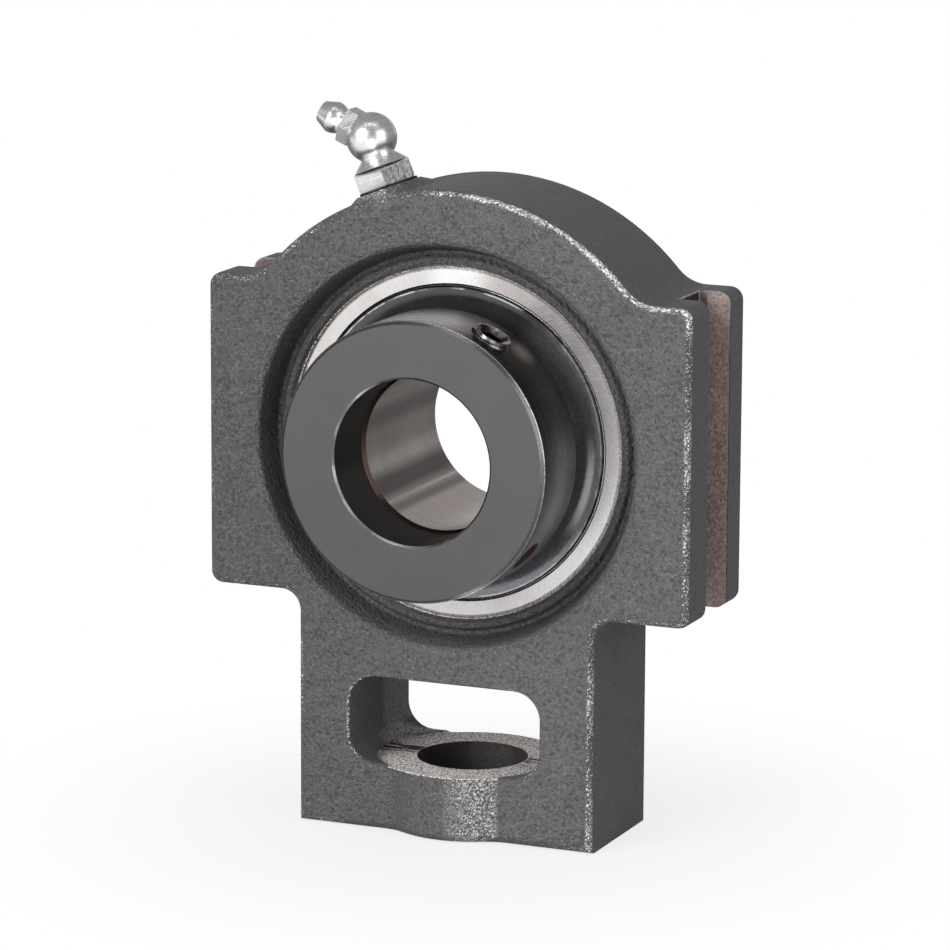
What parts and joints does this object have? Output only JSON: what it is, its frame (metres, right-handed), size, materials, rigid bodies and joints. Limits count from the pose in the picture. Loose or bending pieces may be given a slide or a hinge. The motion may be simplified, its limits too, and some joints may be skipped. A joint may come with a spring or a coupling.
{
  "type": "take up bearing unit",
  "caption": "Sliding cast housing with side guide grooves, a nut window and a self-aligning ball bearing insert held on its shaft by an eccentric collar.",
  "frame": {"origin": "centre of the ball bearing on the shaft axis", "axes": "+Z from the screw hole in the foot towards the arch, Y along the shaft with the locking collar at -Y, X across the two guide grooves"},
  "size_m": [0.102, 0.0495, 0.1427],
  "materials": {
    "painted_casting": "dark grey paint over a fine sand casting texture",
    "ground_steel": "ground",
    "black_oxide": "black oxide, matt",
    "pressed_steel": "pressed sheet, satin",
    "polished_steel": "polished",
    "seal_rubber": "matt",
    "zinc_plate": "bright zinc plate with turning marks",
    "spring_wire": "drawn wire"
  },
  "bodies": {
    "housing": {"housing": "painted_casting", "nipple_body": "zinc_plate", "nipple_head": "zinc_plate", "nipple_spring": "spring_wire"},
    "outer_ring": {"outer_ring": "ground_steel", "front_seal": "seal_rubber", "rear_seal": "seal_rubber"},
    "inner_ring": {"inner_ring": "ground_steel", "front_flinger": "pressed_steel", "rear_flinger": "pressed_steel"},
    "cage": {"cage_front": "pressed_steel", "cage_rear": "pressed_steel", "cage_rivets": "pressed_steel", "ball_1": "polished_steel", "ball_2": "polished_steel", "ball_3": "polished_steel", "ball_4": "polished_steel", "ball_5": "polished_steel", "ball_6": "polished_steel", "ball_7": "polished_steel", "ball_8": "polished_steel", "ball_9": "polished_steel"},
    "locking_collar": {"locking_collar": "black_oxide"},
    "set_screw": {"collar_set_screw": "black_oxide"},
    "check_ball": {"nipple_check_ball": "polished_steel"}
  },
  "joints": [
    {"name": "insert_alignment", "type": "hinge", "parent": "housing", "child": "outer_ring", "pos_m": [0, 0, 0], "axis": [1, 0, 0], "range_deg": [-2.5, 2.5]},
    {"name": "shaft_spin", "type": "hinge", "parent": "outer_ring", "child": "inner_ring", "pos_m": [0, 0, 0], "axis": [0, 1, 0], "continuous": true},
    {"name": "cage_spin", "type": "hinge", "parent": "outer_ring", "child": "cage", "pos_m": [0, 0, 0], "axis": [0, 1, 0], "continuous": true},
    {"name": "collar_turn", "type": "hinge", "parent": "inner_ring", "child": "locking_collar", "pos_m": [0.0008, -0.0155, 0], "axis": [0, 1, 0], "range_deg": [-26, 26]},
    {"name": "set_screw_travel", "type": "slide", "parent": "locking_collar", "child": "set_screw", "axis": [-0.4848, 0, -0.8746], "range_m": [-0.003, 0.0007]},
    {"name": "check_ball_push", "type": "slide", "parent": "housing", "child": "check_ball", "axis": [0.9143, 0, -0.4051], "range_m": [0, 0.0006], "stiffness_N_per_m": 400, "springref_m": -0.001, "deforming": ["nipple_spring"]}
  ],
  "couplings": [
    {"joint": "cage_spin", "follows": "shaft_spin", "ratio": 0.39615}
  ]
}
